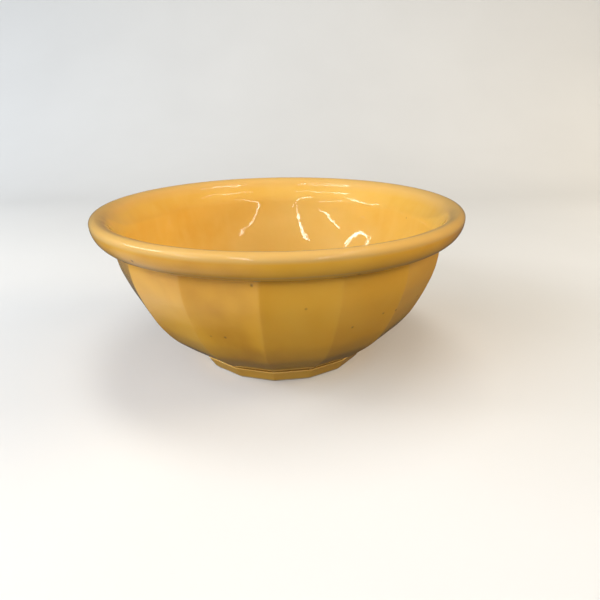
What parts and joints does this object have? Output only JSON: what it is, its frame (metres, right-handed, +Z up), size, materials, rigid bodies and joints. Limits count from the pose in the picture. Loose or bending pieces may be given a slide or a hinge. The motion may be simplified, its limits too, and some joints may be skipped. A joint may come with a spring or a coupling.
{
  "type": "mixing bowl",
  "caption": "Round glazed ceramic mixing bowl with a thick banded rim, a body of flat upright panels, a smooth round inside and a short panelled foot.",
  "frame": {"origin": "centre of the foot's standing face, where the bowl's axis meets the table", "axes": "+Z up along the bowl's axis; one panel corner faces close to -Y"},
  "size_m": [0.2946, 0.2946, 0.128],
  "materials": {
    "clay": "matte",
    "glaze_inside": "gloss",
    "glaze_outside": "gloss"
  },
  "bodies": {
    "root": {"clay_body": "clay", "inside_glaze": "glaze_inside", "outside_glaze": "glaze_outside"}
  },
  "joints": []
}
